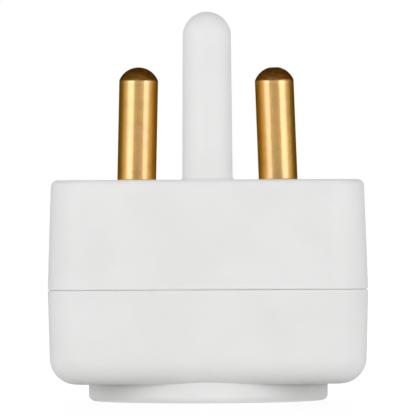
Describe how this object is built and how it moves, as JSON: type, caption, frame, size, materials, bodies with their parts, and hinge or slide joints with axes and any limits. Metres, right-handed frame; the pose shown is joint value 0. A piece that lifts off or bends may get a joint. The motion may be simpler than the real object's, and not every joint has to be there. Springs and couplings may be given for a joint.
{
  "type": "double socket adapter",
  "caption": "Compact white travel adapter: three round pins on one face, a low round boss with two flat two-pin sockets on the other.",
  "frame": {"origin": "middle of the boss rim that the adapter stands on, under the middle of the body", "axes": "+Z from the sockets up to the pin tips, +X towards the line pin, +Y from the earth pin towards the pin row"},
  "size_m": [0.0568, 0.0494, 0.0693],
  "materials": {
    "white_plastic": "satin moulded white plastic",
    "pin_brass": "turned brass, fine turning grain, lightly polished",
    "strip_brass": "rolled brass strip",
    "contact_bronze": "phosphor bronze strip",
    "spring_steel": "spring steel",
    "screw_steel": "zinc plated steel",
    "insulating_plate": "dark moulded insulating plate"
  },
  "bodies": {
    "root": {"socket_shell": "white_plastic", "plug_shell": "white_plastic", "line_pin": "pin_brass", "neutral_pin": "pin_brass", "pin_clamp": "insulating_plate", "clamp_screw_1": "screw_steel", "clamp_screw_2": "screw_steel", "shell_screw_1": "screw_steel", "shell_screw_2": "screw_steel", "shell_screw_3": "screw_steel", "shell_screw_4": "screw_steel", "line_busbar": "strip_brass", "line_contact_1": "contact_bronze", "line_spring_1": "spring_steel", "line_rivet_1": "strip_brass", "line_contact_2": "contact_bronze", "line_spring_2": "spring_steel", "line_rivet_2": "strip_brass", "neutral_busbar": "strip_brass", "neutral_contact_1": "contact_bronze", "neutral_spring_1": "spring_steel", "neutral_rivet_1": "strip_brass", "neutral_contact_2": "contact_bronze", "neutral_spring_2": "spring_steel", "neutral_rivet_2": "strip_brass"}
  },
  "joints": []
}
